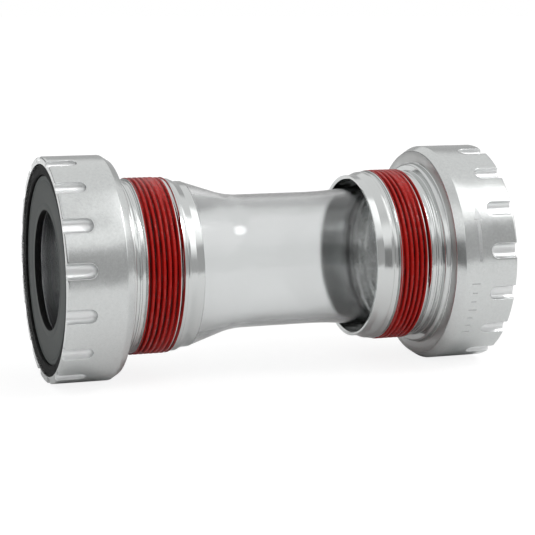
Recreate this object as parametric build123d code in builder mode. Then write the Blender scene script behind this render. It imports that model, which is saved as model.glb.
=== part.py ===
"""Threaded outboard-bearing bottom bracket for a 24 mm spindle, with its centre sleeve.

Millimetres. The spindle axis is X: the drive cup is at -X and the non-drive cup at +X, +Z is up,
and the origin is on the axis, half way between the two outer faces. Each cup is drawn by its
depth, the distance inward from its own outer face, so both cups come from the same functions.
"""

import os
from math import asin, cos, degrees, radians, sin, tan

from build123d import *

# Whole part
overall_length = 90.9
drive_side = -1
nondrive_side = 1

# Cup body: radii, and depths measured inward from the outer face
flange_radius = 22.0
rim_chamfer = 0.4
flange_depth = 11.3
flange_face_depth = 12.85
flange_face_radius = 21.0
boss_radius = 18.5
boss_depth = 14.05
neck_radius = 16.9
collar_radius = 17.1
collar_end_depth = 25.6
snap_groove_depth = 24.2
snap_groove_width = 0.3
snap_groove_radius = 16.6
spout_radius = 16.43
spout_start_depth = 26.1
spout_chamfer = 0.25
cup_depth = 27.7

# Cup inside
cover_seat_radius = 20.6
cover_seat_depth = 2.07
pocket_radius = 18.51
pocket_depth = 9.1
relief_radius = 16.6
relief_depth = 9.7
throat_radius = 12.6
throat_end_depth = 20.4
mouth_radius = 15.7

# Thread, 24 turns to the inch with 55 degree flanks, drawn as rings
thread_pitch = 25.4 / 24
thread_radius = 17.4
thread_crest_width = 0.58
thread_flank_angle = 55
thread_start_depth = 16.45
thread_grooves = 6
coating_thickness = 0.1

# Tool notches round the flange
notch_count = 16
notch_width = 3.0
notch_length = 6.0
notch_floor_radius = 20.7
notch_first_angle = 7.2

# Ball bearing, 24 x 37 x 7
bore_radius = 12.0
bearing_radius = 18.5
bearing_width = 7.0
bearing_depth = 2.1
race_chamfer = 0.3
inner_land_radius = 14.2
outer_land_radius = 16.3
ball_radius = 1.75
ball_count = 20
pitch_radius = 15.25
groove_radius = 1.8
cage_inner_radius = 14.7
cage_outer_radius = 15.8
cage_back = 2.4
cage_front = 1.0
cage_pocket_radius = 1.82
seal_offset = 2.7
seal_thickness = 0.5
seal_inner_radius = 14.3
seal_outer_radius = 16.85
seal_seat_play = 0.05

# Cover ring, dust cover and its rubber lip
ring_front_depth = 0.3
ring_inner_radius = 18.45
ring_outer_radius = 20.55
ring_foot_radius = 17.5
ring_foot_depth = 1.8
ring_back_depth = 2.05
cover_radius = 18.4
cover_front_depth = 0.75
cover_back_depth = 1.75
cover_hole_radius = 13.02
lip_radius = 12.05
lip_outer_radius = 13.0
lip_front_depth = 0.75
lip_back_depth = 1.9

# Centre sleeve and its O-rings
sleeve_radius = 13.35
sleeve_wall = 1.0
drive_flare_radius = 16.38
drive_flare_slope = 0.332
drive_flare_blend = 18.0
spigot_radius = 15.62
spigot_bore_radius = 13.7
spigot_length = 6.45
sleeve_mouth_gap = 0.05
tail_start = 8.0
tail_bend_radius = 76.0
tail_collar_start = 22.6
tail_end = 24.55
tail_collar_radius = 15.6
tail_bore_radius = 13.6
o_ring_radius = 15.2
o_ring_section_radius = 0.48
o_ring_groove_radius = 14.7
o_ring_groove_width = 1.05
drive_o_ring_inset = 2.6
nondrive_o_ring_inset = 0.975

# Worked out from the dimensions above
half_length = overall_length / 2
thread_groove_width = thread_pitch - thread_crest_width
thread_groove_depth = thread_groove_width / 2 / tan(radians(thread_flank_angle / 2))
thread_end_depth = thread_start_depth + thread_grooves * thread_pitch + thread_crest_width
core_radius = thread_radius - coating_thickness
bearing_middle_depth = bearing_depth + bearing_width / 2
spigot_shoulder = -half_length + cup_depth + sleeve_mouth_gap
spigot_end = spigot_shoulder - spigot_length
drive_o_ring_x = spigot_end + drive_o_ring_inset
nondrive_o_ring_x = tail_end - nondrive_o_ring_inset


def along(side, depth):
    """X of a depth measured inward from one cup's outer face."""
    return side * (half_length - depth)


def outline(side, corners):
    """Turns (depth, radius) corners into points of the half section."""
    return [(along(side, depth), radius) for depth, radius in corners]


def thread_profile(outer_radius):
    """Corners along the ringed thread: crest flats with V grooves between them."""
    corners = [(thread_start_depth, outer_radius)]
    for turn in range(thread_grooves):
        groove_start = thread_start_depth + turn * thread_pitch + thread_crest_width
        corners.append((groove_start, outer_radius))
        corners.append((groove_start + thread_groove_width / 2, outer_radius - thread_groove_depth))
        corners.append((groove_start + thread_groove_width, outer_radius))
    corners.append((thread_end_depth, outer_radius))
    return corners


def pocket_planes(side):
    """One plane for each ball, on the axis and facing out towards the ball."""
    planes = []
    for i in range(ball_count):
        angle = radians(360 * i / ball_count)
        outward = (0, cos(angle), sin(angle))
        origin = (along(side, bearing_middle_depth), 0, 0)
        planes.append(Plane(origin=origin, x_dir=(1, 0, 0), z_dir=outward))
    return planes


def revolved(corners):
    """A ring with this half section, turned about the spindle axis."""
    with BuildPart() as ring:
        with BuildSketch(Plane.XY):
            with BuildLine():
                Polyline(corners, close=True)
            make_face()
        revolve(axis=Axis.X)
    return ring


def notch_planes(side):
    """One plane for each notch, at the outer face, facing straight out from the axis."""
    planes = []
    for i in range(notch_count):
        angle = radians(notch_first_angle + 360 * i / notch_count)
        outward = (0, -cos(angle), sin(angle))
        planes.append(Plane(origin=(side * half_length, 0, 0), x_dir=(-side, 0, 0), z_dir=outward))
    return planes


def build_cup_shell(side):
    """The cup: notched flange, seating boss, threaded neck and the spout that takes the sleeve."""
    corners = [(0, cover_seat_radius)]
    corners += [(0, flange_radius - rim_chamfer), (rim_chamfer, flange_radius)]
    corners += [(flange_depth, flange_radius), (flange_face_depth, flange_face_radius)]
    corners += [(flange_face_depth, boss_radius), (boss_depth, boss_radius), (boss_depth, neck_radius)]
    corners += [(thread_start_depth, neck_radius)]
    corners += thread_profile(core_radius)
    corners += [(thread_end_depth, collar_radius), (snap_groove_depth, collar_radius)]
    corners += [(snap_groove_depth, snap_groove_radius)]
    corners += [(snap_groove_depth + snap_groove_width, snap_groove_radius)]
    corners += [(snap_groove_depth + snap_groove_width, collar_radius)]
    corners += [(collar_end_depth, collar_radius), (spout_start_depth, spout_radius)]
    corners += [(cup_depth - spout_chamfer, spout_radius), (cup_depth, spout_radius - spout_chamfer)]
    corners += [(cup_depth, mouth_radius), (throat_end_depth, mouth_radius)]
    corners += [(throat_end_depth, throat_radius), (relief_depth, throat_radius)]
    corners += [(relief_depth, relief_radius), (pocket_depth, relief_radius)]
    corners += [(pocket_depth, pocket_radius), (cover_seat_depth, pocket_radius)]
    corners += [(cover_seat_depth, cover_seat_radius)]
    with BuildPart() as cup_shell:
        with BuildSketch(Plane.XY):
            with BuildLine():
                Polyline(outline(side, corners), close=True)
            make_face()
        revolve(axis=Axis.X)
        with BuildSketch(*[plane.offset(notch_floor_radius) for plane in notch_planes(side)]):
            straight = notch_length - notch_width / 2
            with Locations((straight / 2, 0)):
                Rectangle(straight, notch_width)
            with Locations((straight, 0)):
                Circle(notch_width / 2)
        extrude(amount=flange_radius, mode=Mode.SUBTRACT)
    return cup_shell


def build_thread_coating(side):
    """The film of thread compound that follows the thread from end to end."""
    corners = thread_profile(thread_radius) + thread_profile(core_radius)[::-1]
    return revolved(outline(side, corners))


def build_outer_race(side):
    """Outer ring of the bearing, with the ball groove and a seat for each seal."""
    start = bearing_depth
    end = bearing_depth + bearing_width
    seat = seal_outer_radius + seal_seat_play
    seal_start = seal_offset - seal_seat_play
    seal_end = seal_offset + seal_thickness + seal_seat_play
    middle = bearing_middle_depth
    corners = [(start, bearing_radius - race_chamfer), (start + race_chamfer, bearing_radius)]
    corners += [(end - race_chamfer, bearing_radius), (end, bearing_radius - race_chamfer)]
    corners += [(end, outer_land_radius), (middle + seal_end, outer_land_radius)]
    corners += [(middle + seal_end, seat), (middle + seal_start, seat)]
    corners += [(middle + seal_start, outer_land_radius), (middle - seal_start, outer_land_radius)]
    corners += [(middle - seal_start, seat), (middle - seal_end, seat)]
    corners += [(middle - seal_end, outer_land_radius), (start, outer_land_radius)]
    with BuildPart() as outer_race:
        with BuildSketch(Plane.XY):
            with BuildLine():
                Polyline(outline(side, corners), close=True)
            make_face()
            with Locations((along(side, middle), pitch_radius)):
                Circle(groove_radius, mode=Mode.SUBTRACT)
        revolve(axis=Axis.X)
    return outer_race


def build_inner_race(side):
    """Inner ring of the bearing, which carries the spindle."""
    start = bearing_depth
    end = bearing_depth + bearing_width
    corners = [(start, bore_radius + race_chamfer), (start, inner_land_radius)]
    corners += [(end, inner_land_radius), (end, bore_radius + race_chamfer)]
    corners += [(end - race_chamfer, bore_radius), (start + race_chamfer, bore_radius)]
    with BuildPart() as inner_race:
        with BuildSketch(Plane.XY):
            with BuildLine():
                Polyline(outline(side, corners), close=True)
            make_face()
            with Locations((along(side, bearing_middle_depth), pitch_radius)):
                Circle(groove_radius, mode=Mode.SUBTRACT)
        revolve(axis=Axis.X)
    return inner_race


def build_balls(side):
    """The set of bearing balls, each a separate solid."""
    with BuildPart() as balls:
        with Locations(*[plane.offset(pitch_radius) for plane in pocket_planes(side)]):
            Sphere(ball_radius)
    return balls


def build_ball_cage(side):
    """Crown cage: a ring behind the balls with an open round pocket for each one."""
    back = bearing_middle_depth + cage_back
    front = bearing_middle_depth - cage_front
    corners = [(front, cage_inner_radius), (front, cage_outer_radius)]
    corners += [(back, cage_outer_radius), (back, cage_inner_radius)]
    with BuildPart() as ball_cage:
        with BuildSketch(Plane.XY):
            with BuildLine():
                Polyline(outline(side, corners), close=True)
            make_face()
        revolve(axis=Axis.X)
        with BuildSketch(*pocket_planes(side)):
            Circle(cage_pocket_radius)
        extrude(amount=bearing_radius, mode=Mode.SUBTRACT)
    return ball_cage


def build_bearing_seal(side, face):
    """A flat seal in the outer race, clear of the inner race; face is -1 outboard, 1 inboard."""
    near = bearing_middle_depth + face * seal_offset
    far = bearing_middle_depth + face * (seal_offset + seal_thickness)
    corners = [(near, seal_inner_radius), (near, seal_outer_radius)]
    corners += [(far, seal_outer_radius), (far, seal_inner_radius)]
    return revolved(outline(side, corners))


def build_cover_ring(side):
    """L-section ring pressed into the rim, whose foot holds the dust cover off the bearing."""
    corners = [(ring_front_depth, ring_inner_radius), (ring_front_depth, ring_outer_radius)]
    corners += [(ring_back_depth, ring_outer_radius), (ring_back_depth, ring_foot_radius)]
    corners += [(ring_foot_depth, ring_foot_radius), (ring_foot_depth, ring_inner_radius)]
    return revolved(outline(side, corners))


def build_dust_cover(side):
    """The flat washer-shaped cover in front of the bearing."""
    corners = [(cover_front_depth, cover_hole_radius), (cover_front_depth, cover_radius)]
    corners += [(cover_back_depth, cover_radius), (cover_back_depth, cover_hole_radius)]
    return revolved(outline(side, corners))


def build_spindle_lip(side):
    """The rubber lip moulded into the dust cover's hole."""
    corners = [(lip_front_depth, lip_radius), (lip_front_depth, lip_outer_radius)]
    corners += [(lip_back_depth, lip_outer_radius), (lip_back_depth, lip_radius)]
    return revolved(outline(side, corners))


def build_centre_sleeve():
    """Clear plastic tube: spigot and flare at the drive end, a gentle tail at the other."""
    flare_start = spigot_shoulder + (drive_flare_radius - sleeve_radius) / drive_flare_slope
    tail_turn = degrees(asin((tail_collar_start - tail_start) / tail_bend_radius))
    tail_centre = (tail_start, sleeve_radius + tail_bend_radius)
    groove_half = o_ring_groove_width / 2

    with BuildPart() as centre_sleeve:
        with BuildSketch(Plane.XY):
            with BuildLine():
                FilletPolyline(
                    (spigot_shoulder, drive_flare_radius),
                    (flare_start, sleeve_radius),
                    (tail_start, sleeve_radius),
                    radius=drive_flare_blend,
                )
                tail = CenterArc(tail_centre, tail_bend_radius, -90, tail_turn)
                Polyline(
                    tail @ 1,
                    (tail_collar_start, tail_collar_radius),
                    (tail_end, tail_collar_radius),
                    (tail_end, tail_bore_radius),
                    (tail_collar_start, tail_bore_radius),
                    (tail_start, sleeve_radius - sleeve_wall),
                    (flare_start, sleeve_radius - sleeve_wall),
                    (spigot_shoulder, spigot_bore_radius),
                    (spigot_end, spigot_bore_radius),
                    (spigot_end, spigot_radius),
                    (spigot_shoulder, spigot_radius),
                    (spigot_shoulder, drive_flare_radius),
                )
            make_face()
            for x in (drive_o_ring_x, nondrive_o_ring_x):
                with BuildLine():
                    Polyline(
                        (x - groove_half, o_ring_groove_radius),
                        (x - groove_half, flange_radius),
                        (x + groove_half, flange_radius),
                        (x + groove_half, o_ring_groove_radius),
                        close=True,
                    )
                make_face(mode=Mode.SUBTRACT)
        revolve(axis=Axis.X)
    return centre_sleeve


def build_o_ring(x):
    """Round-section seal ring in one of the sleeve's grooves."""
    with BuildPart() as o_ring:
        with BuildSketch(Plane.XY):
            with Locations((x, o_ring_radius)):
                Circle(o_ring_section_radius)
        revolve(axis=Axis.X)
    return o_ring


def save(piece, name):
    """Labels a finished piece and writes its STEP file."""
    piece.part.label = name
    export_step(piece.part, f"parts/{name}.step")


os.makedirs("parts", exist_ok=True)

for prefix, side in (("drive", drive_side), ("nondrive", nondrive_side)):
    save(build_cup_shell(side), f"{prefix}_cup_shell")
    save(build_thread_coating(side), f"{prefix}_thread_coating")
    save(build_outer_race(side), f"{prefix}_outer_race")
    save(build_inner_race(side), f"{prefix}_inner_race")
    save(build_balls(side), f"{prefix}_balls")
    save(build_ball_cage(side), f"{prefix}_ball_cage")
    save(build_bearing_seal(side, -1), f"{prefix}_outboard_seal")
    save(build_bearing_seal(side, 1), f"{prefix}_inboard_seal")
    save(build_cover_ring(side), f"{prefix}_cover_ring")
    save(build_dust_cover(side), f"{prefix}_dust_cover")
    save(build_spindle_lip(side), f"{prefix}_spindle_lip")

save(build_centre_sleeve(), "centre_sleeve")
save(build_o_ring(drive_o_ring_x), "drive_o_ring")
save(build_o_ring(nondrive_o_ring_x), "nondrive_o_ring")
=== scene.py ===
from math import radians

import bmesh
import bpy
import numpy as np
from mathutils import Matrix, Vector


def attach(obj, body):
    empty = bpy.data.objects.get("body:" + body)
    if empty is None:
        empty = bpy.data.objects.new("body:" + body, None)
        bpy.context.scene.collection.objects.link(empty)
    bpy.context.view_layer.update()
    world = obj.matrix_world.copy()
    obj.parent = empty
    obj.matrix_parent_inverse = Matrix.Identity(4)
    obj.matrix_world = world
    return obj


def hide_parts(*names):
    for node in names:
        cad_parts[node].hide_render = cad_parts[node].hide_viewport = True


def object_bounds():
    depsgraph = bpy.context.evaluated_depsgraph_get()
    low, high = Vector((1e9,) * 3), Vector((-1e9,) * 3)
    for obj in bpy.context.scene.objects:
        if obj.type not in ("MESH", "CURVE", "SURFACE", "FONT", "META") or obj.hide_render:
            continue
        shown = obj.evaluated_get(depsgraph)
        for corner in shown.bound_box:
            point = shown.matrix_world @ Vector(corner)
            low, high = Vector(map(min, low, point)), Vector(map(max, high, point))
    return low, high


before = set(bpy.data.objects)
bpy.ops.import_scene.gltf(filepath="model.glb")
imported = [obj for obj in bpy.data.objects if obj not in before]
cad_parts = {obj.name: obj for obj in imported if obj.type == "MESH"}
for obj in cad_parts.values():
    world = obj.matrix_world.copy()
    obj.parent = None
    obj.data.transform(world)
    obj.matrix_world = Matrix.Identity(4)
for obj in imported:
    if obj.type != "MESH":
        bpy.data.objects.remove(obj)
cad_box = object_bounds()


# ---- Cup shells -----------------------------------------------------------------------------
# Each cup is one piece of turned aluminium, satin anodised: a flange with sixteen milled tool
# notches, a seating boss, a threaded neck and a thin polished spout that takes the sleeve.
# The drive cup's thread is left-hand and the non-drive cup's is its mirror image, right-hand.

MM = 0.001
HALF_LENGTH = 45.45
SIDES = (("drive", -1), ("nondrive", 1))

NOTCHES = 16
FIRST_NOTCH = 7.2
NOTCH_HALF_WIDTH = 1.42
NOTCH_LENGTH = 5.65
NOTCH_FLOOR = 20.7
NOTCH_EDGE = 0.12
NOTCH_FLAT = 0.35
SECTOR_DEPTH = 8.0
COLUMNS_PER_NOTCH = 12
COLUMNS = NOTCHES * COLUMNS_PER_NOTCH

FLANGE_RADIUS = 22.0
RIM_ROUND = 0.4
COVER_SEAT_RADIUS = 20.6
REAR_DEPTH = 12.85
REAR_OUTSIDE = 20.9
BOSS_FOOT = 18.75
NECK_RADIUS = 16.88
RELIEF_RADIUS = 17.08
MOUTH_DEPTH = 21.0
MOUTH_RADIUS = 15.7

PITCH = 25.4 / 24
ROWS_PER_PITCH = 12
THREAD_START = 15.9
THREAD_END = 24.1
THREAD_CREST = 17.28
THREAD_ROOT = 16.70
THREAD_PHASE = 16.42
ROOT_SHARE = 0.22
FLANK_SHARE = 0.42
THREAD_RUN_IN = 0.5
THREAD_RUN_OUT = 0.9


def turned_angles(first=FIRST_NOTCH):
    """Column angles once round the axis, equally spaced, starting half a sector below a notch."""
    return radians(first) + np.pi / NOTCHES + np.linspace(0, 2 * np.pi, COLUMNS + 1)


def on_axis(depth, radius, angle):
    """Points of a cup from depth, radius and angle; the angle runs from -Y towards +Z."""
    depth, radius, angle = np.broadcast_arrays(depth, radius, angle)
    return np.stack([depth, -radius * np.cos(angle), radius * np.sin(angle)], -1)


def filleted(corners, steps=6):
    """A half section with round corners. Each corner is depth, radius and fillet. An arc of the
    fillet's size touches both sides of its corner: its centre is on the line that halves the
    corner, and its points swing from one touching point to the other."""
    corners = np.array(corners, float)
    place, fillet = corners[:, :2], corners[1:-1, 2:3]
    back = place[:-2] - place[1:-1]
    ahead = place[2:] - place[1:-1]
    back /= np.linalg.norm(back, axis=1, keepdims=True)
    ahead /= np.linalg.norm(ahead, axis=1, keepdims=True)
    half = np.arccos(np.clip((back * ahead).sum(1, keepdims=True), -1, 1)) / 2
    middle = (back + ahead) / np.linalg.norm(back + ahead, axis=1, keepdims=True)
    centre = place[1:-1] + middle * fillet / np.sin(half)
    start = place[1:-1] + back * fillet / np.tan(half) - centre
    end = place[1:-1] + ahead * fillet / np.tan(half) - centre
    swing = np.pi - 2 * half[:, None]
    share = np.linspace(0, 1, steps)[None, :, None]
    arcs = np.sin((1 - share) * swing) * start[:, None] + np.sin(share * swing) * end[:, None]
    arcs = centre[:, None] + arcs / np.sin(swing)
    return np.concatenate([place[:1], arcs.reshape(-1, 2), place[-1:]])


def turned(profile, angles=None):
    """A surface of revolution: every profile point carried round the axis."""
    angles = turned_angles() if angles is None else angles
    return on_axis(profile[:, :1], profile[:, 1:2], angles[None, :])


def notched_flange():
    """Flange surface in one grid for each notch. One way the grid follows the notch's outline,
    in along one side, round the half-circle end and out along the other. The other way it goes
    from the notch's middle line over the narrow flat floor, up the wall on a quarter of an
    ellipse, over the rounded edge and across the land to a rectangle that it shares with its
    neighbours."""
    straight_end = NOTCH_LENGTH - NOTCH_HALF_WIDTH
    half_sector = np.pi / NOTCHES
    quarter_turn = np.linspace(0, np.pi / 2, 5)
    rim = RIM_ROUND * (1 - np.cos(quarter_turn))
    straight = np.concatenate(
        [rim, [1.15 * RIM_ROUND], np.linspace(3 * RIM_ROUND, straight_end, 5)])
    side = np.linspace(straight_end, SECTOR_DEPTH, 5)[1:-1]
    across = np.linspace(-half_sector, half_sector, COLUMNS_PER_NOTCH + 1)
    border_depth = np.concatenate(
        [straight, side, np.full(across.size, SECTOR_DEPTH), side[::-1], straight[::-1]])
    run = straight.size + side.size
    border_angle = np.concatenate([np.full(run, -half_sector), across, np.full(run, half_sector)])
    centre_depth = np.minimum(border_depth, straight_end)
    reach = np.stack([border_depth - centre_depth, border_angle * FLANGE_RADIUS])
    reach /= np.linalg.norm(reach, axis=0)

    def outside(depth):
        """Radius of the flange at a depth, with its rounded rim."""
        drop = RIM_ROUND - np.clip(depth, 0, RIM_ROUND)
        return FLANGE_RADIUS - RIM_ROUND + np.sqrt(RIM_ROUND ** 2 - drop ** 2)

    def at_offset(offset):
        """Depth and distance across at an offset from the notch's middle line."""
        return centre_depth + offset * reach[0], offset * reach[1]

    wall_depth, wall_across = at_offset(NOTCH_HALF_WIDTH)
    wall_height = np.sqrt(outside(wall_depth) ** 2 - wall_across ** 2) - NOTCH_EDGE - NOTCH_FLOOR
    bend = np.radians([0, 0, 0, 15, 30, 45, 60, 75])
    offsets = NOTCH_FLAT + (NOTCH_HALF_WIDTH - NOTCH_FLAT) * np.sin(bend)
    offsets[:2] = 0.0, NOTCH_FLAT / 2
    rows = []
    for offset, angle in zip(offsets, bend):
        depth, across_notch = at_offset(offset)
        rows.append((depth, across_notch, NOTCH_FLOOR + wall_height * (1 - np.cos(angle))))
    for angle in quarter_turn:
        depth, across_notch = at_offset(NOTCH_HALF_WIDTH + NOTCH_EDGE * (1 - np.cos(angle)))
        top = np.sqrt(outside(depth) ** 2 - across_notch ** 2)
        rows.append((depth, across_notch, top - NOTCH_EDGE * (1 - np.sin(angle))))
    edge_depth, edge_across = at_offset(NOTCH_HALF_WIDTH + NOTCH_EDGE)
    edge_angle = np.arcsin(edge_across / outside(edge_depth))
    for share in (0.15, 0.4, 0.7, 1.0):
        depth = edge_depth + share * (border_depth - edge_depth)
        angle = edge_angle + share * (border_angle - edge_angle)
        radius = outside(depth)
        rows.append((depth, radius * np.sin(angle), radius * np.cos(angle)))
    local = np.array([np.stack(row, -1) for row in rows])

    turns = radians(FIRST_NOTCH) + np.arange(NOTCHES) * 2 * np.pi / NOTCHES
    cos, sin = np.cos(turns)[:, None, None], np.sin(turns)[:, None, None]
    depth, sideways, outward = (local[None, ..., i] for i in range(3))
    depth = np.broadcast_to(depth, (NOTCHES,) + local.shape[:2])
    y = -outward * cos + sideways * sin
    z = outward * sin + sideways * cos
    return np.stack([depth, y, z], -1)


def rim_face(sectors):
    """The flat outer face: straight lines from the flange's outline to the cover seat's edge.
    Land, edge and wall rows lean outwards from the notch, so none crosses its opening."""
    middle = COLUMNS_PER_NOTCH // 2
    columns = np.full(sectors.shape[1], middle - 3)
    columns[:3] = [middle, middle - 1, middle - 2]
    columns[-4:] = [3, 2, 1, 0]
    outline = np.concatenate([sectors[:, ::-1, 0], sectors[:, 1:, -1]], 1)
    columns = np.concatenate([columns[::-1], COLUMNS_PER_NOTCH - columns[1:]])
    turns = radians(FIRST_NOTCH) + np.arange(NOTCHES) * 2 * np.pi / NOTCHES
    share = columns / COLUMNS_PER_NOTCH - 0.5
    angles = turns[:, None] + share[None] * 2 * np.pi / NOTCHES
    seat = on_axis(0.0, COVER_SEAT_RADIUS, angles)
    return np.stack([seat, outline], 1)


def thread_wave(phase):
    """Height share of the thread at a phase in turns: a flat root in the middle of the turn and a
    flat crest at its ends. Each flank is a smooth step between them, three times the square of
    the share of the way up less twice its cube."""
    away = np.abs((phase % 1.0) - 0.5) * 2
    ramp = np.clip((away - ROOT_SHARE) / FLANK_SHARE, 0, 1)
    return ramp * ramp * (3 - 2 * ramp)


def thread_surface(start, end, start_radius, end_radius):
    """Helical thread between two plain rings. Rows follow the helix, so depth grows by one pitch
    each turn, and rows past either ring are held on it. The thread grows out of the start ring
    and fades into the end ring over a short run."""
    angles = turned_angles()
    first = np.floor((start - THREAD_PHASE) / PITCH) - 2
    last = np.ceil((end - THREAD_PHASE) / PITCH) + 2
    phase = np.arange(first, last, 1 / ROWS_PER_PITCH)[:, None]
    depth = THREAD_PHASE + PITCH * (phase + angles[None] / (2 * np.pi))
    held = np.clip(depth, start, end)
    height = thread_wave(phase) * (THREAD_CREST - THREAD_ROOT)
    grown = np.clip((held - start) / THREAD_RUN_IN, 0, 1)
    faded = np.clip((end - held) / THREAD_RUN_OUT, 0, 1)
    radius = start_radius + (THREAD_ROOT + height - start_radius) * grown
    radius = end_radius + (radius - end_radius) * faded
    return on_axis(held, radius, angles[None])


WELDS_PER_MM = 20000


def welded(grids, marks):
    """Joins grids of points into one mesh: corners at the same place become one, and faces that
    this leaves with no area are dropped. Gives points, faces and each face's material mark."""
    points, faces, face_marks, count = [], [], [], 0
    for grid, mark in zip(grids, marks):
        rows, columns = grid.shape[:2]
        index = count + np.arange(rows * columns).reshape(rows, columns)
        quads = np.stack([index[:-1, :-1], index[1:, :-1], index[1:, 1:], index[:-1, 1:]], -1)
        faces.append(quads.reshape(-1, 4))
        face_marks.append(np.full(faces[-1].shape[0], mark))
        points.append(grid.reshape(-1, 3))
        count += rows * columns
    points, faces, face_marks = map(np.concatenate, (points, faces, face_marks))
    places = np.round(points * WELDS_PER_MM).astype(np.int64)
    _, kept, renamed = np.unique(places, axis=0, return_index=True, return_inverse=True)
    faces = renamed.reshape(-1)[faces]
    same = faces == np.roll(faces, -1, axis=1)
    crossed = (faces[:, 0] == faces[:, 2]) | (faces[:, 1] == faces[:, 3])
    whole = (same.sum(1) == 0) & ~crossed
    cut = (same.sum(1) == 1) & ~crossed
    triangles = faces[cut][~same[cut]].reshape(-1, 3)
    return points[kept], (faces[whole], triangles), (face_marks[whole], face_marks[cut])


def make_piece(name, grids, materials, marks=None, side=-1, sharp=35):
    """A piece from grids in depth, Y and Z millimetres. The drive side's depth runs towards +X
    from its outer face and the non-drive side's towards -X; side 0 means plain X."""
    marks = [0] * len(grids) if marks is None else marks
    points, faces, face_marks = welded(grids, marks)
    points = points.copy()
    if side:
        points[:, 0] = side * (HALF_LENGTH - points[:, 0])
    mesh = bpy.data.meshes.new(name)
    mesh.from_pydata((points * MM).tolist(), [], faces[0].tolist() + faces[1].tolist())
    mesh.polygons.foreach_set("material_index", np.concatenate(face_marks).astype(np.int32))
    for material in materials:
        mesh.materials.append(material)
    outward(mesh)
    mesh.shade_smooth()
    mesh.set_sharp_from_angle(angle=radians(sharp))
    piece = bpy.data.objects.new(name, mesh)
    bpy.context.scene.collection.objects.link(piece)
    return piece


def outward(mesh):
    """Turns every face of a closed mesh outwards."""
    work = bmesh.new()
    work.from_mesh(mesh)
    bmesh.ops.recalc_face_normals(work, faces=work.faces)
    work.to_mesh(mesh)
    work.free()


def plain_material(name, colour, metallic=0.0, roughness=0.5, **sockets):
    """A Principled material with its constant values set on the shader's own sockets."""
    material = bpy.data.materials.new(name)
    material.use_nodes = True
    shader = material.node_tree.nodes["Principled BSDF"]
    shader.inputs["Base Color"].default_value = (*colour, 1.0)
    shader.inputs["Metallic"].default_value = metallic
    shader.inputs["Roughness"].default_value = roughness
    for socket, value in sockets.items():
        shader.inputs[socket.replace("_", " ")].default_value = value
    return material


def add_node(material, kind, links=(), **values):
    """Adds a node. Values name its properties or sockets; links are (socket, output) pairs."""
    node = material.node_tree.nodes.new(kind)
    for key, value in values.items():
        if hasattr(node, key):
            setattr(node, key, value)
        else:
            node.inputs[key.replace("_", " ")].default_value = value
    for socket, output in links:
        material.node_tree.links.new(node.inputs[socket], output)
    return node


def feed(material, socket, output):
    """Links an output into a socket of the material's Principled shader."""
    shader = material.node_tree.nodes["Principled BSDF"]
    material.node_tree.links.new(shader.inputs[socket], output)


def object_place(material):
    """The point on the piece, in metres."""
    return add_node(material, "ShaderNodeTexCoord").outputs["Object"]


def lathe_lines(material, lines_per_mm, depth_mm, strength, grain_per_mm=0, grain_share=0.0):
    """Bump of fine lines round the axis, as a lathe tool leaves, with an even grain over them.
    The lines are a noise of the distance along the axis alone."""
    place = object_place(material)
    along = add_node(material, "ShaderNodeSeparateXYZ", [(0, place)]).outputs["X"]
    scaled = add_node(material, "ShaderNodeMath", [(0, along)], operation="MULTIPLY")
    scaled.inputs[1].default_value = lines_per_mm / MM
    lines = add_node(material, "ShaderNodeTexNoise", [("W", scaled.outputs[0])],
                     noise_dimensions="1D", Scale=1.0, Detail=3.0, Roughness=0.7)
    height = lines.outputs[0]
    if grain_per_mm:
        grain = add_node(material, "ShaderNodeTexNoise", [("Vector", place)],
                         Scale=grain_per_mm / MM, Detail=2.0, Roughness=0.6)
        both = add_node(material, "ShaderNodeMix", [(2, height), (3, grain.outputs[0])],
                        data_type="FLOAT")
        both.inputs[0].default_value = grain_share
        height = both.outputs[0]
    bump = add_node(material, "ShaderNodeBump", [("Height", height)],
                    Strength=strength, Distance=depth_mm * MM)
    feed(material, "Normal", bump.outputs[0])
    return place


def vary_roughness(material, place, scale_per_mm, low, high, stretch=(1, 1, 1)):
    """Roughness that drifts between two values over patches of a given size."""
    mapping = add_node(material, "ShaderNodeMapping", [("Vector", place)], Scale=stretch)
    patches = add_node(material, "ShaderNodeTexNoise", [("Vector", mapping.outputs[0])],
                       Scale=scale_per_mm / MM, Detail=4.0, Roughness=0.6)
    span = add_node(material, "ShaderNodeMapRange", [("Value", patches.outputs[0])],
                    From_Min=0.3, From_Max=0.7, To_Min=low, To_Max=high)
    feed(material, "Roughness", span.outputs[0])


def noise_bump(material, place, scale_per_mm, depth_mm, strength, detail=4.0):
    """Bump from a fine even noise, for grit, grain and moulded texture."""
    noise = add_node(material, "ShaderNodeTexNoise", [("Vector", place)],
                     Scale=scale_per_mm / MM, Detail=detail, Roughness=0.65)
    bump = add_node(material, "ShaderNodeBump", [("Height", noise.outputs[0])],
                    Strength=strength, Distance=depth_mm * MM)
    feed(material, "Normal", bump.outputs[0])
    return noise.outputs[0]


def two_tone(material, value, low, high, dark, light):
    """Base colour that goes from dark to light as a value goes from low to high."""
    tint = add_node(material, "ShaderNodeValToRGB", [("Fac", value)])
    for element, position, colour in zip(tint.color_ramp.elements, (low, high), (dark, light)):
        element.position = position
        element.color = (*colour, 1)
    feed(material, "Base Color", tint.outputs[0])


ALLOY = (0.60, 0.615, 0.61)
satin_alloy = plain_material("satin_anodised_alloy", ALLOY, 1.0, 0.18)
place = lathe_lines(satin_alloy, 14, 0.0012, 0.5, 22, 0.5)
vary_roughness(satin_alloy, place, 0.3, 0.15, 0.24)
mottle = add_node(satin_alloy, "ShaderNodeTexNoise", [("Vector", place)],
                  Scale=2.2 / MM, Detail=6.0, Roughness=0.7)
two_tone(satin_alloy, mottle.outputs[0], 0.3, 0.7, (0.555, 0.57, 0.565), (0.635, 0.65, 0.645))

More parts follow.
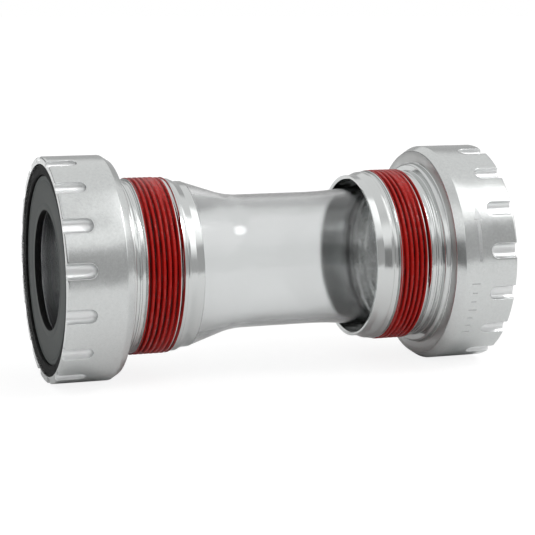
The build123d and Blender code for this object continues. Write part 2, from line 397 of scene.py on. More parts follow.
polished_alloy = plain_material("polished_turned_alloy", ALLOY, 1.0, 0.14)
place = lathe_lines(polished_alloy, 6, 0.003, 0.5)
vary_roughness(polished_alloy, place, 0.4, 0.09, 0.17, (3, 1, 1))

milled_alloy = plain_material("milled_notch_alloy", (0.74, 0.75, 0.75), 1.0, 0.33)
place = object_place(milled_alloy)
cutter_marks = add_node(milled_alloy, "ShaderNodeTexNoise", [("Vector", place)],
                        Scale=4.5 / MM, Detail=4.0, Roughness=0.7)
cutter_bump = add_node(milled_alloy, "ShaderNodeBump", [("Height", cutter_marks.outputs[0])],
                       Strength=1.0, Distance=0.07 * MM)
feed(milled_alloy, "Normal", cutter_bump.outputs[0])

faced_alloy = plain_material("faced_alloy", (0.54, 0.55, 0.545), 1.0, 0.42)
place = lathe_lines(faced_alloy, 9, 0.003, 0.4, 12, 0.5)
vary_roughness(faced_alloy, place, 0.3, 0.36, 0.48)

bored_alloy = plain_material("bored_alloy", (0.84, 0.85, 0.845), 1.0, 0.26)
place = lathe_lines(bored_alloy, 7, 0.004, 0.5)
vary_roughness(bored_alloy, place, 0.4, 0.20, 0.32, (3, 1, 1))

SATIN, POLISHED, MILLED, FACED, BORED = 0, 1, 2, 3, 4
cup_materials = [satin_alloy, polished_alloy, milled_alloy, faced_alloy, bored_alloy]

# The milled finish ends half way over a notch's rounded edge, on this row of its grid.
EDGE_ROW = 10

# Half sections are lists of corners: depth, radius and fillet, in millimetres.
sectors = notched_flange()
flange_back = filleted([
    (SECTOR_DEPTH, FLANGE_RADIUS, 0), (11.3, FLANGE_RADIUS, 0.5), (12.8, 21.05, 0.12),
    (REAR_DEPTH, REAR_OUTSIDE, 0)])
rear_face = np.array([(REAR_DEPTH, REAR_OUTSIDE), (REAR_DEPTH, 19.8), (REAR_DEPTH, BOSS_FOOT)])
boss_and_neck = filleted([
    (REAR_DEPTH, BOSS_FOOT, 0), (REAR_DEPTH, 18.55, 0.15), (13.85, 18.45, 0.3),
    (14.05, 18.1, 0.1), (14.05, 16.95, 0.15), (14.9, 16.9, 0.1), (14.95, 17.02, 0.05),
    (15.3, 17.02, 0.05), (15.4, NECK_RADIUS, 0.05), (THREAD_START, NECK_RADIUS, 0)])
spout = filleted([
    (THREAD_END, RELIEF_RADIUS, 0), (24.2, RELIEF_RADIUS, 0.02), (24.28, 17.02, 0.03),
    (24.42, 17.02, 0.03), (24.5, 17.06, 0.02), (24.95, 17.03, 0.4), (26.25, 16.45, 0.5),
    (27.67, 16.43, 0.02), (27.7, 16.40, 0.01), (27.7, 15.95, 0.1), (27.5, MOUTH_RADIUS, 0.1),
    (MOUTH_DEPTH, MOUTH_RADIUS, 0)])
throat = filleted([
    (MOUTH_DEPTH, MOUTH_RADIUS, 0), (20.5, MOUTH_RADIUS, 0.25), (20.4, 14.6, 0.2),
    (19.9, 14.3, 0.12), (19.8, 13.75, 0.12), (19.2, 13.6, 0.12), (19.1, 13.1, 0.12),
    (18.4, 12.95, 0.12), (18.2, 12.6, 0.15), (10.0, 12.6, 0.2), (9.7, 12.9, 0.1),
    (9.7, 16.6, 0.1), (9.1, 16.6, 0.05), (9.1, 18.51, 0.1), (2.07, 18.51, 0.05),
    (2.07, COVER_SEAT_RADIUS, 0.1), (0, COVER_SEAT_RADIUS, 0)])

for prefix, side in SIDES:
    grids = list(sectors[:, :EDGE_ROW + 1])
    marks = [MILLED] * NOTCHES
    grids += list(sectors[:, EDGE_ROW:])
    marks += [SATIN] * NOTCHES
    grids += [face.reshape(2, -1, 3) for face in rim_face(sectors)]
    marks += [SATIN] * NOTCHES
    grids += [turned(flange_back), turned(rear_face), turned(boss_and_neck)]
    marks += [SATIN, FACED, POLISHED]
    grids += [thread_surface(THREAD_START, THREAD_END, NECK_RADIUS, RELIEF_RADIUS)]
    marks += [POLISHED]
    grids += [turned(spout), turned(throat)]
    marks += [POLISHED, BORED]
    cup = make_piece(f"{prefix}_cup", grids, cup_materials, marks, side)
    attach(cup, f"{prefix}_cup")
    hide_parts(f"{prefix}_cup_shell")


# ---- Thread compound ------------------------------------------------------------------------
# A dry red film of thread compound on the thread of each cup, brushed on before packing. It
# follows the helix, fills the valleys in places and leaves crests bare where it thins out, so
# that a turn at an end of it shows as a separate red line.

FILM_CREST = 17.385
FILM_ROOT = 16.78
FILM_LINING = 0.03
FILM_END_TAPER = 12
PATCH_SPREAD = 25
PATCH_FILL = 0.85
BRUSH_FILL = 0.35

# The thickest patch of each film: its depth in millimetres and its angle above the front.
FILM_PATCH = {"drive": (21.2, 72.0), "nondrive": (18.8, 61.0)}

# The strips of each film: phase of the near edge, first turn, number of turns and width in turns.
FILM_STRIPS = {
    "drive": [(0.0, -0.45, 5.75, 1.0), (0.42, 5.66, 0.68, 0.36)],
    "nondrive": [(0.12, -0.06, 0.62, 0.62), (0.0, 0.5, 4.82, 1.0), (0.12, 5.7, 0.36, 0.14)],
}


def brushed_fill(depth, angle, patch_depth, patch_angle):
    """How full of film the thread's valleys are: one thick patch that falls off evenly round its
    middle, and slight brush marks from two crossed sine waves."""
    away = np.degrees((angle - radians(patch_angle) + np.pi) % (2 * np.pi) - np.pi)
    patch = np.exp(-(depth - patch_depth) ** 2 - (away / PATCH_SPREAD) ** 2)
    marks = np.clip(np.sin(3 * angle + 2.3 * depth) * np.sin(2 * angle - 3.1 * depth), 0, 1)
    return np.clip(PATCH_FILL * patch + BRUSH_FILL * marks, 0, PATCH_FILL)


def film_strip(patch, first_phase, first_turn, turns, width):
    """A strip of film along the helix, closed all round: outer skin, far edge, inner skin and
    near edge of a flat cross section that is carried along the helix and tapers at its ends."""
    steps = int(round(turns * COLUMNS))
    turn = first_turn + np.arange(steps + 1)[:, None] / COLUMNS
    across = np.linspace(0, width, int(round(width * ROWS_PER_PITCH)) + 1)
    phase = first_phase + across[None]
    share = thread_wave(phase)
    taper = np.clip(np.minimum(turn - turn[0], turn[-1] - turn) * FILM_END_TAPER, 0, 1)
    angle = 2 * np.pi * turn
    depth = THREAD_PHASE + PITCH * (phase + turn)
    share_full = share + (1 - share) * brushed_fill(depth, angle, *patch)
    outer = FILM_ROOT + share_full * (FILM_CREST - FILM_ROOT)
    under = THREAD_ROOT + share * (THREAD_CREST - THREAD_ROOT) - FILM_LINING
    outer = under + (outer - under) * taper
    skin = on_axis(depth, outer, angle)
    lining = on_axis(depth, np.broadcast_to(under, outer.shape), angle)
    return np.concatenate([skin, lining[:, ::-1], skin[:, :1]], 1)


def from_axis(material):
    """The point on the piece and its distance from the spindle axis, in millimetres."""
    place = object_place(material)
    flat = add_node(material, "ShaderNodeVectorMath", [(0, place)], operation="MULTIPLY")
    flat.inputs[1].default_value = (0, 1 / MM, 1 / MM)
    length = add_node(material, "ShaderNodeVectorMath", [(0, flat.outputs[0])], operation="LENGTH")
    return place, length.outputs["Value"]


red_compound = plain_material("red_thread_compound", (0.28, 0.004, 0.004), 0.0, 0.36,
                              Specular_IOR_Level=0.22, Specular_Tint=(1.0, 0.45, 0.4, 1.0),
                              Coat_Roughness=0.14)
place, radius_mm = from_axis(red_compound)
noise_bump(red_compound, place, 2.2, 0.05, 0.5)
drops = add_node(red_compound, "ShaderNodeTexNoise", [("Vector", place)],
                 Scale=2.6 / MM, Detail=2.0, Roughness=0.5)
wet = add_node(red_compound, "ShaderNodeMapRange", [("Value", drops.outputs[0])],
               From_Min=0.54, From_Max=0.60, To_Min=0.06)
feed(red_compound, "Coat Weight", wet.outputs[0])
wet_bump = add_node(red_compound, "ShaderNodeBump", [("Height", drops.outputs[0])],
                    Strength=0.8, Distance=0.12 * MM)
feed(red_compound, "Coat Normal", wet_bump.outputs[0])
# Painted shade: the film's colour darkens down into the thread's valleys and lightens towards the
# crests, by distance from the axis. Random streaks of tone along the brush are added to it.
valley_shade_share = add_node(red_compound, "ShaderNodeMapRange", [("Value", radius_mm)],
                       From_Min=FILM_ROOT, From_Max=FILM_CREST, To_Max=0.8)
along_brush = add_node(red_compound, "ShaderNodeMapping", [("Vector", place)],
                       Scale=(3.0, 0.5, 0.5))
streaks = add_node(red_compound, "ShaderNodeTexNoise", [("Vector", along_brush.outputs[0])],
                   Scale=0.5 / MM, Detail=5.0, Roughness=0.65)
shade = add_node(red_compound, "ShaderNodeMath",
                 [(0, valley_shade_share.outputs[0]), (1, streaks.outputs[0])], operation="ADD")
two_tone(red_compound, shade.outputs[0], 0.45, 1.2, (0.04, 0.001, 0.001), (0.35, 0.007, 0.005))

for prefix, side in SIDES:
    grids = [film_strip(FILM_PATCH[prefix], *strip) for strip in FILM_STRIPS[prefix]]
    film = make_piece(f"{prefix}_thread_film", grids, [red_compound], side=side, sharp=60)
    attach(film, f"{prefix}_cup")
    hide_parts(f"{prefix}_thread_coating")


# ---- Bearing races --------------------------------------------------------------------------
# The two rings of a 24 x 37 x 7 mm deep-groove ball bearing, hardened steel, ground all over.
# The outer ring is pressed into the cup; the inner ring turns on the balls with the spindle.

BEARING_START = 2.1
BEARING_END = 9.1
BEARING_MIDDLE = 5.6
BORE_RADIUS = 12.0
BEARING_RADIUS = 18.5
INNER_LAND = 14.2
OUTER_LAND = 16.3
SEAL_SEAT = 16.9
PITCH_RADIUS = 15.25
GROOVE_RADIUS = 1.8
GROOVE_REACH = 1.5
SEAL_NEAR = 2.65
SEAL_FAR = 3.25


def ball_groove(land, steps=17):
    """Half section of the ball groove: the arc of the groove's circle beyond a land radius, which
    is outwards on the outer ring and inwards on the inner ring."""
    way = 1 if land > PITCH_RADIUS else -1
    half = np.arccos(abs(land - PITCH_RADIUS) / GROOVE_RADIUS)
    swing = np.linspace(-half, half, steps)
    return np.stack([BEARING_MIDDLE + GROOVE_RADIUS * np.sin(swing),
                     PITCH_RADIUS + way * GROOVE_RADIUS * np.cos(swing)], -1)


ground_steel = plain_material("ground_bearing_steel", (0.50, 0.505, 0.51), 1.0, 0.2)
place = lathe_lines(ground_steel, 5, 0.0015, 0.4)
vary_roughness(ground_steel, place, 0.4, 0.16, 0.24, (6, 0.3, 0.3))

inner_ring = np.concatenate([
    ball_groove(INNER_LAND),
    filleted([(BEARING_MIDDLE + GROOVE_REACH, INNER_LAND, 0), (BEARING_END, INNER_LAND, 0.15),
              (BEARING_END, BORE_RADIUS, 0.3), (BEARING_START, BORE_RADIUS, 0.08),
              (BEARING_START, INNER_LAND, 0.15),
              (BEARING_MIDDLE - GROOVE_REACH, INNER_LAND, 0)]),
    ball_groove(INNER_LAND)[:1]])
outer_ring = np.concatenate([
    ball_groove(OUTER_LAND),
    filleted([(BEARING_MIDDLE + GROOVE_REACH, OUTER_LAND, 0),
              (BEARING_MIDDLE + SEAL_NEAR, OUTER_LAND, 0.05),
              (BEARING_MIDDLE + SEAL_NEAR, SEAL_SEAT, 0.05),
              (BEARING_MIDDLE + SEAL_FAR, SEAL_SEAT, 0.05),
              (BEARING_MIDDLE + SEAL_FAR, OUTER_LAND, 0.05), (BEARING_END, OUTER_LAND, 0.08),
              (BEARING_END, BEARING_RADIUS, 0.35), (BEARING_START, BEARING_RADIUS, 0.35),
              (BEARING_START, OUTER_LAND, 0.08), (BEARING_MIDDLE - SEAL_FAR, OUTER_LAND, 0.05),
              (BEARING_MIDDLE - SEAL_FAR, SEAL_SEAT, 0.05),
              (BEARING_MIDDLE - SEAL_NEAR, SEAL_SEAT, 0.05),
              (BEARING_MIDDLE - SEAL_NEAR, OUTER_LAND, 0.05),
              (BEARING_MIDDLE - GROOVE_REACH, OUTER_LAND, 0)]),
    ball_groove(OUTER_LAND)[:1]])

for prefix, side in SIDES:
    race = make_piece(f"{prefix}_inner_ring", [turned(inner_ring)], [ground_steel], side=side)
    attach(race, f"{prefix}_inner_race_body")
    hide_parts(f"{prefix}_inner_race")
    race = make_piece(f"{prefix}_outer_ring", [turned(outer_ring)], [ground_steel], side=side)
    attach(race, f"{prefix}_cup")
    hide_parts(f"{prefix}_outer_race")


# ---- Balls ----------------------------------------------------------------------------------
# Twenty lapped chrome-steel balls in each bearing. They roll round with their cage.

BALLS = 20
BALL_RADIUS = 1.75


def ball_set():
    """One grid for each ball: a sphere by latitude and longitude, stood on the pitch circle."""
    latitude = np.linspace(-np.pi / 2, np.pi / 2, 17)[:, None]
    longitude = np.linspace(0, 2 * np.pi, 33)[None]
    ball = BALL_RADIUS * np.stack([np.cos(latitude) * np.cos(longitude),
                                   np.cos(latitude) * np.sin(longitude),
                                   np.sin(latitude) + 0 * longitude], -1)
    turns = np.arange(BALLS) * 2 * np.pi / BALLS
    centre = np.stack([np.full(BALLS, BEARING_MIDDLE), PITCH_RADIUS * np.cos(turns),
                       PITCH_RADIUS * np.sin(turns)], -1)
    return list(centre[:, None, None] + ball[None])


lapped_steel = plain_material("lapped_ball_steel", (0.62, 0.63, 0.64), 1.0, 0.06)
place = object_place(lapped_steel)
vary_roughness(lapped_steel, place, 0.8, 0.04, 0.10)

for prefix, side in SIDES:
    ball_piece = make_piece(f"{prefix}_ball_set", ball_set(), [lapped_steel], side=side, sharp=80)
    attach(ball_piece, f"{prefix}_cage_body")
    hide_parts(f"{prefix}_balls")


# ---- Ball cage ------------------------------------------------------------------------------
# A one-piece crown cage, moulded in tan nylon. Its round pockets are open on the outer side and
# their prongs reach a little past the balls, so that it snaps over them.

CAGE_INSIDE = 14.7
CAGE_OUTSIDE = 15.8
CAGE_BACK = BEARING_MIDDLE + 2.4
CAGE_FRONT = BEARING_MIDDLE - 1.0
POCKET_RADIUS = 1.82
PRONG_SHARE = 0.94


def crown_cage():
    """A ring whose front edge follows the pockets: round each one on a circle of the pocket's
    radius, then straight across the prong tips. Every edge point is joined to one on the plain
    back edge, and the rectangle between inside and outside is carried along both."""
    reach = np.pi / 2 + np.arcsin((BEARING_MIDDLE - CAGE_FRONT) / POCKET_RADIUS)
    swing = np.linspace(-reach, reach, 25)
    half_pitch = np.pi * PITCH_RADIUS / BALLS
    across = np.concatenate([[-half_pitch], POCKET_RADIUS * np.sin(swing)])
    front = np.concatenate([[CAGE_FRONT], BEARING_MIDDLE + POCKET_RADIUS * np.cos(swing)])
    spread_out = np.linspace(-PRONG_SHARE, PRONG_SHARE, 25)
    back_across = np.concatenate([[-half_pitch], spread_out * half_pitch])
    turns = np.arange(BALLS)[:, None] * 2 * np.pi / BALLS
    front_angle = (turns + across[None] / PITCH_RADIUS).reshape(-1)
    back_angle = (turns + back_across[None] / PITCH_RADIUS).reshape(-1)
    front = np.tile(front, BALLS)
    corners = [(front, CAGE_OUTSIDE, front_angle), (front, CAGE_INSIDE, front_angle),
               (CAGE_BACK, CAGE_INSIDE, back_angle), (CAGE_BACK, CAGE_OUTSIDE, back_angle)]
    loop = []
    for depth, radius, angle in corners + corners[:1]:
        depth, radius, angle = np.broadcast_arrays(depth, radius, angle)
        loop.append(np.stack([depth, radius * np.cos(angle), radius * np.sin(angle)], -1))
    loop = np.stack(loop)
    return np.concatenate([loop, loop[:, :1]], 1)


nylon = plain_material("tan_cage_nylon", (0.46, 0.33, 0.17), 0.0, 0.5)
place = object_place(nylon)
marbling = noise_bump(nylon, place, 3.0, 0.02, 0.4)
two_tone(nylon, marbling, 0.35, 0.65, (0.40, 0.28, 0.14), (0.52, 0.38, 0.21))

for prefix, side in SIDES:
    cage = make_piece(f"{prefix}_crown_cage", [crown_cage()], [nylon], side=side)
    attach(cage, f"{prefix}_cage_body")
    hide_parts(f"{prefix}_ball_cage")


# ---- Bearing seals --------------------------------------------------------------------------
# Black rubber rings moulded on thin steel washers, one each side of the balls. Their outer bead
# snaps into the outer ring, and their thin inner lip rides on the inner ring.

black_rubber = plain_material("black_rubber", (0.006, 0.006, 0.006), 0.0, 0.5,
                              Specular_IOR_Level=0.1)
place = object_place(black_rubber)
bloom = noise_bump(black_rubber, place, 4.0, 0.02, 0.5)
two_tone(black_rubber, bloom, 0.35, 0.7, (0.003, 0.003, 0.003), (0.009, 0.009, 0.009))

# Half section of the inboard seal, from the bearing's middle.
seal_section = filleted([
    (3.1, 15.0, 0), (3.1, 14.75, 0.06), (2.95, 14.3, 0.05), (2.8, 14.3, 0.05), (2.72, 14.8, 0.08),
    (2.72, 16.83, 0.1), (3.18, 16.83, 0.1), (3.18, 16.35, 0.06), (3.1, 16.3, 0.04),
    (3.1, 15.0, 0)], 4)

for prefix, side in SIDES:
    for end, face in (("outboard", -1), ("inboard", 1)):
        section = seal_section * (face, 1) + (BEARING_MIDDLE, 0)
        seal = make_piece(f"{prefix}_{end}_rubber_seal", [turned(section)], [black_rubber],
                          side=side)
        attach(seal, f"{prefix}_cup")
        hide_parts(f"{prefix}_{end}_seal")


# ---- Cover rings ----------------------------------------------------------------------------
# A black moulded ring pressed into each rim. Its foot lies on the bearing and holds the dust
# cover off it. Its surface is coarse, and it stands just below the rim's edge.

RING_INSIDE = 18.45
RING_OUTSIDE = 20.55
RING_FRONT = 0.3
RING_BACK = 2.05
FOOT_INSIDE = 17.5
FOOT_FRONT = 1.8

ring_section = filleted([
    (1.3, RING_INSIDE, 0), (0.5, RING_INSIDE, 0.05), (RING_FRONT, RING_INSIDE + 0.2, 0.08),
    (RING_FRONT, RING_OUTSIDE - 0.15, 0.12), (RING_FRONT + 0.15, RING_OUTSIDE, 0.05),
    (RING_BACK, RING_OUTSIDE, 0.1), (RING_BACK, FOOT_INSIDE, 0.1), (FOOT_FRONT, FOOT_INSIDE, 0.1),
    (FOOT_FRONT, RING_INSIDE, 0.03), (1.3, RING_INSIDE, 0)], 5)

coarse_black = plain_material("coarse_black_plastic", (0.006, 0.006, 0.006), 0.0, 0.55,
                              Specular_IOR_Level=0.05)
place = object_place(coarse_black)
grain = noise_bump(coarse_black, place, 1.7, 0.22, 1.0)
two_tone(coarse_black, grain, 0.45, 0.72, (0.002, 0.002, 0.002), (0.016, 0.017, 0.017))

for prefix, side in SIDES:
    ring = make_piece(f"{prefix}_rim_ring", [turned(ring_section)], [coarse_black], side=side)
    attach(ring, f"{prefix}_cup")
    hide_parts(f"{prefix}_cover_ring")


# ---- Dust covers ----------------------------------------------------------------------------
# A flat washer of dark grey moulded plastic in front of each bearing, finely textured, with a
# shallow groove near its edge. The cover ring's foot carries it and the spindle runs through it.

COVER_FRONT = 0.75
COVER_BACK = 1.75
COVER_INSIDE = 13.01
COVER_OUTSIDE = 18.4
COVER_GROOVE = 0.81

cover_section = filleted([
    (1.2, COVER_INSIDE, 0), (COVER_FRONT, COVER_INSIDE, 0.004), (COVER_FRONT, 17.3, 0.06),
    (COVER_GROOVE, 17.36, 0.04), (COVER_GROOVE, 17.6, 0.04), (COVER_FRONT, 17.66, 0.06),
    (COVER_FRONT, 18.2, 0.1), (0.9, COVER_OUTSIDE, 0.08), (COVER_BACK, COVER_OUTSIDE, 0.1),
    (COVER_BACK, COVER_INSIDE, 0.08), (1.2, COVER_INSIDE, 0)], 5)

textured_grey = plain_material("textured_grey_plastic", (0.075, 0.082, 0.08), 0.0, 0.62,
                               Specular_IOR_Level=0.18)
place = object_place(textured_grey)
spark = noise_bump(textured_grey, place, 7.0, 0.02, 0.5, 2.0)
two_tone(textured_grey, spark, 0.3, 0.7, (0.058, 0.064, 0.062), (0.095, 0.103, 0.10))

for prefix, side in SIDES:
    cover = make_piece(f"{prefix}_cover_disc", [turned(cover_section)], [textured_grey], side=side)
    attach(cover, f"{prefix}_cup")
    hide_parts(f"{prefix}_dust_cover")


# ---- Spindle lips ---------------------------------------------------------------------------
# A soft lip moulded into the hole of each dust cover, grey and flush in front and black rubber
# inside. Its hole is a little smaller than the spindle, which stretches it.

LIP_OUTSIDE = 13.005
LIP_INSIDE = 11.66
LIP_BACK = 1.9
LIP_MIDDLE = 1.4
GREY_EDGE = 11.78

lip_front = filleted([
    (LIP_MIDDLE, LIP_OUTSIDE, 0), (COVER_FRONT, LIP_OUTSIDE, 0.004),
    (COVER_FRONT, GREY_EDGE, 0)], 3)
lip_bore = filleted([
    (COVER_FRONT, GREY_EDGE, 0), (COVER_FRONT, LIP_INSIDE, 0.06), (LIP_BACK, LIP_INSIDE, 0.15),
    (LIP_BACK, LIP_OUTSIDE, 0.1), (LIP_MIDDLE, LIP_OUTSIDE, 0)], 5)

for prefix, side in SIDES:
    lip = make_piece(f"{prefix}_rubber_lip", [turned(lip_front), turned(lip_bore)],
                     [textured_grey, black_rubber], [0, 1], side)
    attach(lip, f"{prefix}_cup")
    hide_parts(f"{prefix}_spindle_lip")


# ---- Centre sleeve --------------------------------------------------------------------------
# One moulding in clear plastic that keeps dirt off the spindle. It flares at the drive end,
# where its spigot plugs into that cup, and its collar slides in the mouth of the other cup.

SLEEVE_RADIUS = 13.35
SLEEVE_WALL = 1.0
BORE = SLEEVE_RADIUS - SLEEVE_WALL
SHOULDER = -17.70
SPIGOT_END = -24.15
SPIGOT_RADIUS = 15.62
SPIGOT_BORE = 13.7
FLARE_RADIUS = 16.38
FLARE_END = -8.574
TAIL_START = 8.0
TAIL_BEND = 76.0
TAIL_BORE_BEND = 85.9
COLLAR_START = 22.6
COLLAR_END = 24.55
COLLAR_RADIUS = 15.6
COLLAR_BORE = 13.6
O_RING_GROOVE = 14.7
DRIVE_O_RING = -21.55
NONDRIVE_O_RING = 23.575
GROOVE_HALF = 0.525


def tail_arc(radius, bend, steps=16):
    """Half section of the tail: an arc that leaves the tube's line without a corner."""
    turn = np.linspace(0, np.arcsin((COLLAR_START - TAIL_START) / bend), steps)
    return np.stack([TAIL_START + bend * np.sin(turn), radius + bend * (1 - np.cos(turn))], -1)


def o_ring_groove(x, radius):
    """Corners of an O-ring groove cut into the given radius, in the direction of travel, +X."""
    near, far = x - GROOVE_HALF, x + GROOVE_HALF
    return [(near, radius, 0.08), (near, O_RING_GROOVE, 0.06), (far, O_RING_GROOVE, 0.06),
            (far, radius, 0.08)]


drive_outside = filleted(
    [(SPIGOT_END, 14.6, 0), (SPIGOT_END, SPIGOT_RADIUS, 0.2)]
    + o_ring_groove(DRIVE_O_RING, SPIGOT_RADIUS)
    + [(SHOULDER, SPIGOT_RADIUS, 0.05), (SHOULDER, FLARE_RADIUS, 0.08),
       (FLARE_END, SLEEVE_RADIUS, 18.0), (TAIL_START, SLEEVE_RADIUS, 0)], 14)
collar = filleted(
    [(COLLAR_START, 14.9, 0), (COLLAR_START, COLLAR_RADIUS, 0.06)]
    + o_ring_groove(NONDRIVE_O_RING, COLLAR_RADIUS)
    + [(COLLAR_END, COLLAR_RADIUS, 0.12), (COLLAR_END, COLLAR_BORE, 0.15),
       (COLLAR_START, COLLAR_BORE, 0)], 6)
drive_inside = filleted(
    [(TAIL_START - 4.0, BORE, 0), (FLARE_END, BORE, 12.0), (SHOULDER, SPIGOT_BORE, 4.0),
     (SPIGOT_END, SPIGOT_BORE, 0.2), (SPIGOT_END, 14.6, 0)], 10)
sleeve_section = np.concatenate([drive_outside, tail_arc(SLEEVE_RADIUS, TAIL_BEND), collar,
                                 tail_arc(BORE, TAIL_BORE_BEND)[::-1], drive_inside])

clear_plastic = plain_material("clear_sleeve_plastic", (0.80, 0.81, 0.81), 0.0, 0.1,
                               Transmission_Weight=1.0, IOR=1.42)
place = object_place(clear_plastic)
noise_bump(clear_plastic, place, 0.12, 0.02, 0.3, 2.0)
vary_roughness(clear_plastic, place, 0.3, 0.08, 0.13)

sleeve = make_piece("clear_sleeve", [turned(sleeve_section)], [clear_plastic], side=0)
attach(sleeve, "sleeve")
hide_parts("centre_sleeve")


# ---- O-rings --------------------------------------------------------------------------------
# Two black rubber rings in the sleeve's grooves, squeezed a little by the cups' mouths.

O_RING_RADIUS = 15.2
O_RING_SECTION = 0.48

swing = np.linspace(0, 2 * np.pi, 17)
for prefix, x in (("drive", DRIVE_O_RING), ("nondrive", NONDRIVE_O_RING)):
    section = np.stack([x + O_RING_SECTION * np.cos(swing),
                        O_RING_RADIUS + O_RING_SECTION * np.sin(swing)], -1)
    o_ring = make_piece(f"{prefix}_sleeve_o_ring", [turned(section)], [black_rubber], side=0,
                        sharp=80)
    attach(o_ring, "sleeve")
    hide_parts(f"{prefix}_o_ring")


# ---- Tightening mark ------------------------------------------------------------------------
# A plain arrow etched into the non-drive flange, which shows the way to turn the cup, with a
# short row of ticks below it. The etched skin is rougher and darker than the flange, and its
# places are angles in degrees and depths in millimetres.

MARK_TOP = 22.004
MARK_BOTTOM = 21.97
ARROW_DEPTH = 8.0
ARROW_TAIL = 2.0
ARROW_NECK = 23.8
ARROW_TIP = 31.2
SHAFT_HALF_WIDTH = 0.36
HEAD_HALF_WIDTH = 0.95
TICK_DEPTH = 8.9
TICKS = 7
FIRST_TICK = -10.0
TICK_STEP = 5.0
TICK_WIDTH = 0.6


def etched_strip(angles, half_widths, depth):
    """A thin closed skin on the flange: a flat rectangle carried round the flange, whose width
    follows the outline. A width of nought closes its ends."""
    angle = np.radians(angles)[:, None]
    half = np.array(half_widths, float)[:, None]
    edge = depth + half * np.array([-1.0, 1.0, 1.0, -1.0, -1.0])[None]
    radius = np.array([MARK_TOP, MARK_TOP, MARK_BOTTOM, MARK_BOTTOM, MARK_TOP])[None]
    return on_axis(edge, np.broadcast_to(radius, edge.shape), angle)


shaft = np.linspace(ARROW_TAIL, ARROW_NECK, 16)
head = np.linspace(ARROW_NECK, ARROW_TIP, 7)
head_widths = HEAD_HALF_WIDTH * (ARROW_TIP - head) / (ARROW_TIP - ARROW_NECK)
arrow_angles = np.concatenate([[ARROW_TAIL], shaft, head])
arrow_widths = np.concatenate([[0.0], np.full(shaft.size, SHAFT_HALF_WIDTH), head_widths])
mark_grids = [etched_strip(arrow_angles, arrow_widths, ARROW_DEPTH)]
for tick in range(TICKS):
    low = FIRST_TICK - TICK_STEP * tick
    high = low + TICK_WIDTH
    half_length = 0.9 if tick % 3 == 0 else 0.55
    mark_grids.append(
        etched_strip([low, low, high, high], [0, half_length, half_length, 0], TICK_DEPTH))

etched_alloy = plain_material("etched_alloy", (0.42, 0.43, 0.43), 1.0, 0.45)
place = object_place(etched_alloy)
hatch = noise_bump(etched_alloy, place, 9.0, 0.03, 0.8)
two_tone(etched_alloy, hatch, 0.35, 0.65, (0.34, 0.35, 0.35), (0.55, 0.56, 0.56))

mark = make_piece("nondrive_turn_mark", mark_grids, [etched_alloy], side=1)
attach(mark, "nondrive_cup")


# ---- Camera, floor and light ----------------------------------------------------------------
# A white table that ends just in front of the object, in a white room: soft light from all
# round, a broad panel overhead to the right, one small lamp, and a darker band at eye height,
# which gives the metal its grey streak. Directions of light are shares of a unit vector.

camera_data = bpy.data.cameras.new("camera")
camera_data.lens = 114.93
camera_data.sensor_width = 36
camera = bpy.data.objects.new("camera", camera_data)
camera.location = (-0.11152, -0.32242, 0.04909)
camera.rotation_euler = (radians(90 - 8.4575), 0, radians(-19.1515))
bpy.context.scene.collection.objects.link(camera)
bpy.context.scene.camera = camera
bpy.context.scene.view_settings.view_transform = "Standard"

FLOOR_REACH = 30.0
FLOOR_FRONT = -0.13
FLOOR_GLOW = 0.78
floor_height = cad_box[0].z
floor_mesh = bpy.data.meshes.new("floor")
floor_mesh.from_pydata([(-FLOOR_REACH, FLOOR_FRONT, floor_height),
                        (FLOOR_REACH, FLOOR_FRONT, floor_height),
                        (FLOOR_REACH, FLOOR_REACH, floor_height),
                        (-FLOOR_REACH, FLOOR_REACH, floor_height)], [], [(0, 1, 2, 3)])
floor = bpy.data.objects.new("floor", floor_mesh)
bpy.context.scene.collection.objects.link(floor)
pale_floor = plain_material("pale_floor", (0.88, 0.88, 0.88), 0.0, 0.9, Specular_IOR_Level=0.0)
floor_mesh.materials.append(pale_floor)

# To the camera the table also glows, so that it fades into the white behind it.
glow = add_node(pale_floor, "ShaderNodeEmission", Strength=1.1)
floor_seen = add_node(pale_floor, "ShaderNodeLightPath").outputs["Is Camera Ray"]
glow_share = add_node(pale_floor, "ShaderNodeMath", [(0, floor_seen)], operation="MULTIPLY")
glow_share.inputs[1].default_value = FLOOR_GLOW
shader = pale_floor.node_tree.nodes["Principled BSDF"]
lightened = add_node(pale_floor, "ShaderNodeMixShader",
                     [(0, glow_share.outputs[0]), (1, shader.outputs[0]), (2, glow.outputs[0])])
output = pale_floor.node_tree.nodes["Material Output"]
pale_floor.node_tree.links.new(output.inputs["Surface"], lightened.outputs[0])

# Height and level of light at each stop of the room in front.
FRONT_STOPS = [(0.40, 1.0), (0.48, 1.2), (0.66, 1.2), (0.76, 0.88), (0.84, 0.80), (0.92, 0.9),
               (1.0, 0.93)]
BACK_LEVEL = 0.93
LOW_LEVEL = 1.0
BAND_LEFT = 0.16
BAND_RIGHT = 0.52
BAND_SLANT = 0.6
PANEL_LEVEL = 0.95
PANEL_CORNER = 0.22
LAMP_DIRECTION = (0.605, -0.316, 0.731)
LAMP_LEVEL = 12.0

world = bpy.data.worlds.new("studio")
bpy.context.scene.world = world
world.use_nodes = True
world.node_tree.nodes.clear()


def spread(value, low, high, start=0.0, end=1.0):
    """A number that goes smoothly from start to end as a value goes from low to high."""
    return add_node(world, "ShaderNodeMapRange", [("Value", value)], From_Min=low, From_Max=high,
                    To_Min=start, To_Max=end, interpolation_type="SMOOTHSTEP").outputs[0]


def combined(operation, first, second):
    """The result of a Math node on two numbers; the second may be a plain number."""
    node = add_node(world, "ShaderNodeMath", [(0, first)], operation=operation)
    if isinstance(second, (int, float)):
        node.inputs[1].default_value = second
    else:
        world.node_tree.links.new(node.inputs[1], second)
    return node.outputs[0]


towards = add_node(world, "ShaderNodeTexCoord").outputs["Generated"]
to_x, to_y, to_z = add_node(world, "ShaderNodeSeparateXYZ", [(0, towards)]).outputs

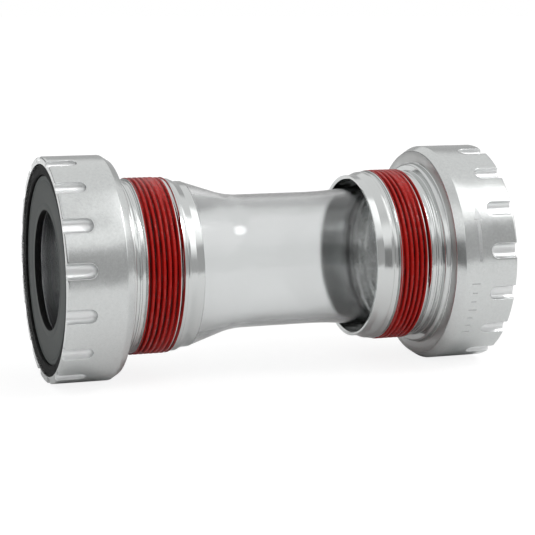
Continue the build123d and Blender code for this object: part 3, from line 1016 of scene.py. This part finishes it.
# The room in front and behind, by height.
front = add_node(world, "ShaderNodeValToRGB", [("Fac", to_z)])
while len(front.color_ramp.elements) < len(FRONT_STOPS):
    front.color_ramp.elements.new(0.5)
for element, (upward, level) in zip(front.color_ramp.elements, FRONT_STOPS):
    element.position = upward
    element.color = (level, level, level, 1)
behind_share = spread(to_y, -0.15, 0.15)
in_front = combined("SUBTRACT", combined("MULTIPLY", behind_share, -1.0), -1.0)
sky = combined("MULTIPLY", front.outputs[0], in_front)
sky = combined("ADD", sky, combined("MULTIPLY", behind_share, BACK_LEVEL))

# The darker band, whose edges rise to the right and fall level again beyond the panel.
slant = combined("MULTIPLY", combined("MAXIMUM", to_x, 0.0), BAND_SLANT)
slant = combined("MULTIPLY", slant, spread(to_x, 0.8, 0.5))
height = combined("SUBTRACT", to_z, slant)
above = spread(height, 0.12, 0.40)
below = spread(height, -0.20, -0.36)
lit = combined("MAXIMUM", combined("MULTIPLY", sky, above), combined("MULTIPLY", below, LOW_LEVEL))
bright = combined("MAXIMUM", lit, spread(to_x, -1.0, 0.5, BAND_LEFT, BAND_RIGHT))

# The panel, with its far edge brought nearer at both ends.
corner = combined("MULTIPLY", spread(to_x, 0.30, 0.44), spread(to_x, 0.8, 0.6))
corner = combined("MULTIPLY", combined("MAXIMUM", corner, spread(to_x, 0.29, 0.25)), PANEL_CORNER)
panel = combined("MULTIPLY", spread(to_x, 0.26, 0.30), spread(to_x, 1.05, 0.8))
panel = combined("MULTIPLY", panel, spread(to_y, -0.74, -0.46))
panel = combined("MULTIPLY", panel, spread(combined("ADD", to_y, corner), 0.14, -0.04))
panel = combined("MULTIPLY", panel, spread(to_z, 0.1, 0.3))
panel = combined("MULTIPLY", panel, PANEL_LEVEL)

# The lamp.
toward_lamp = add_node(world, "ShaderNodeVectorMath", [(0, towards)], operation="DOT_PRODUCT")
toward_lamp.inputs[1].default_value = LAMP_DIRECTION
lamp = combined("MULTIPLY", spread(toward_lamp.outputs["Value"], 0.988, 0.996), LAMP_LEVEL)
bright = combined("ADD", bright, combined("ADD", panel, lamp))

around = add_node(world, "ShaderNodeBackground", [("Strength", bright)], Color=(1, 1, 1, 1))
behind = add_node(world, "ShaderNodeBackground", Color=(1, 1, 1, 1), Strength=1.0)
room_seen = add_node(world, "ShaderNodeLightPath").outputs["Is Camera Ray"]
mixed = add_node(world, "ShaderNodeMixShader",
                 [(0, room_seen), (1, around.outputs[0]), (2, behind.outputs[0])])
add_node(world, "ShaderNodeOutputWorld", [("Surface", mixed.outputs[0])])
